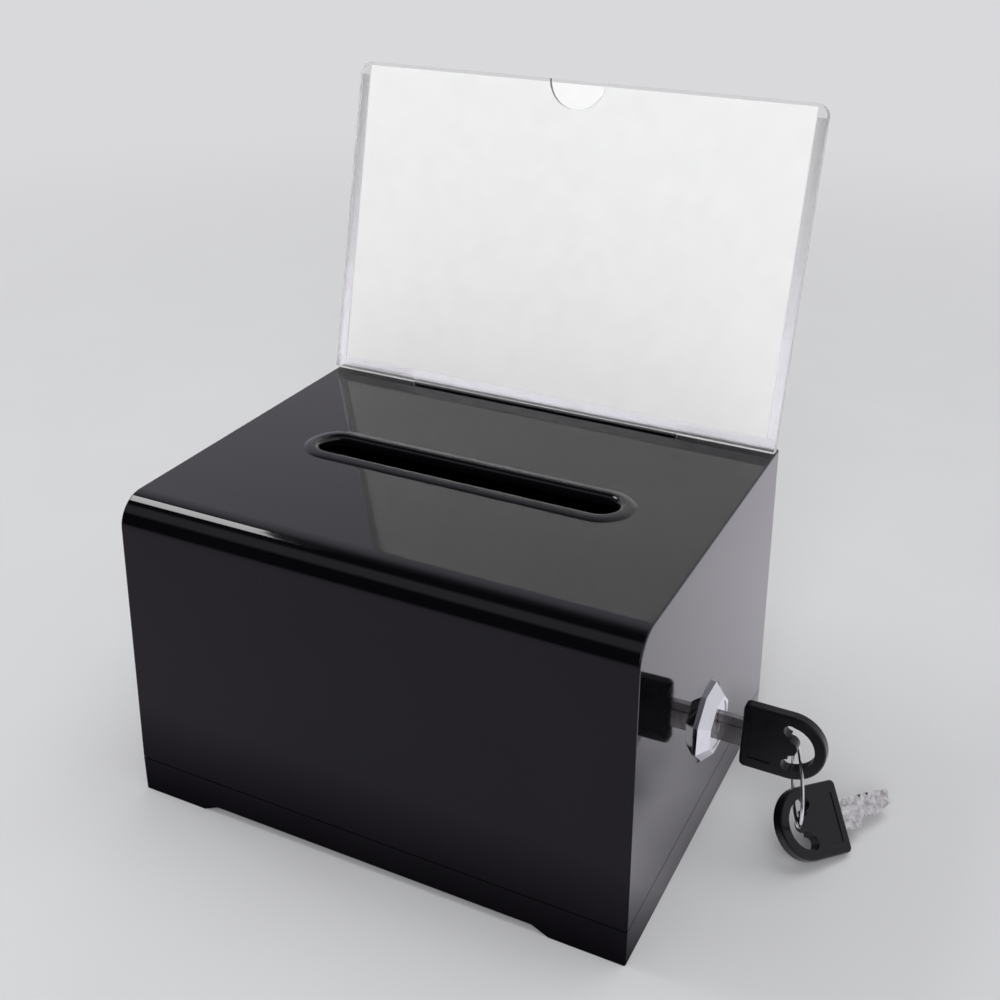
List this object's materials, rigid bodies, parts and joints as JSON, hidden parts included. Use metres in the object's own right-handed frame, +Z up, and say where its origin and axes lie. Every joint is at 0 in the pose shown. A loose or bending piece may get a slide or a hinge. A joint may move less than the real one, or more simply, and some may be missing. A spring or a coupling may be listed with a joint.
{
  "type": "donation box",
  "caption": "Countertop donation box: glossy moulded box with a rimmed slot, locking base tray, side cam lock with keys on a ring, and a tilted clear sign holder with a blank card.",
  "frame": {"origin": "middle of the box's footprint on the plane of the feet", "axes": "+X towards the lock side, +Y towards the rear where the sign stands, +Z up; the front faces -Y"},
  "size_m": [0.207, 0.1394, 0.1991],
  "materials": {
    "black_styrene": "high gloss moulded",
    "clear_styrene": "clear polished sheet",
    "white_card": "matt white card",
    "chrome_zinc": "bright chrome on die casting",
    "zinc_plated_steel": "zinc plated",
    "brass": "stamped",
    "spring_steel_wire": "bright drawn wire",
    "nickel_brass": "nickel plated",
    "black_key_plastic": "satin moulded"
  },
  "bodies": {
    "base": {"base_tray": "black_styrene", "cam_catch": "zinc_plated_steel", "catch_screws": "zinc_plated_steel"},
    "box": {"box_shell": "black_styrene", "lock_housing": "chrome_zinc", "spur_washer": "zinc_plated_steel", "lock_nut": "zinc_plated_steel"},
    "plug": {"lock_plug": "chrome_zinc", "wafer_tumblers": "brass", "stop_washer": "zinc_plated_steel", "lock_cam": "zinc_plated_steel", "cam_washer": "zinc_plated_steel", "cam_screw": "zinc_plated_steel"},
    "key_1": {"key_1_blade": "nickel_brass", "key_1_head": "black_key_plastic"},
    "ring": {"key_ring": "spring_steel_wire"},
    "key_2": {"key_2_blade": "nickel_brass", "key_2_head": "black_key_plastic"},
    "sign": {"sign_front_panel": "clear_styrene", "sign_back_panel": "clear_styrene", "sign_strip_left": "clear_styrene", "sign_strip_right": "clear_styrene", "sign_strip_bottom": "clear_styrene"},
    "card": {"insert_card": "white_card"}
  },
  "joints": [
    {"name": "box_tilt", "type": "hinge", "parent": "base", "child": "box", "pos_m": [-0.07747, 0, 0.01305], "axis": [0, -1, 0], "range_deg": [0, 70]},
    {"name": "lock_turn", "type": "hinge", "parent": "box", "child": "plug", "pos_m": [0, 0, 0.038], "axis": [1, 0, 0], "range_deg": [0, 90]},
    {"name": "key_pull", "type": "slide", "parent": "plug", "child": "key_1", "axis": [1, 0, 0], "range_m": [0, 0.0145]},
    {"name": "ring_swing", "type": "hinge", "parent": "key_1", "child": "ring", "pos_m": [0.10559, 0, 0.03495], "axis": [0.3662, -0.9211, -0.1324], "range_deg": [0, 10]},
    {"name": "second_key_swing", "type": "hinge", "parent": "ring", "child": "key_2", "pos_m": [0.10651, 0.00084, 0.0127], "axis": [0.3569, -0.9296, 0.0923], "range_deg": [0, 10]},
    {"name": "sign_lift", "type": "slide", "parent": "box", "child": "sign", "axis": [0, 0.2317, 0.9728], "range_m": [0, 0.014]},
    {"name": "card_lift", "type": "slide", "parent": "sign", "child": "card", "axis": [0, 0.2317, 0.9728], "range_m": [0, 0.1]}
  ]
}
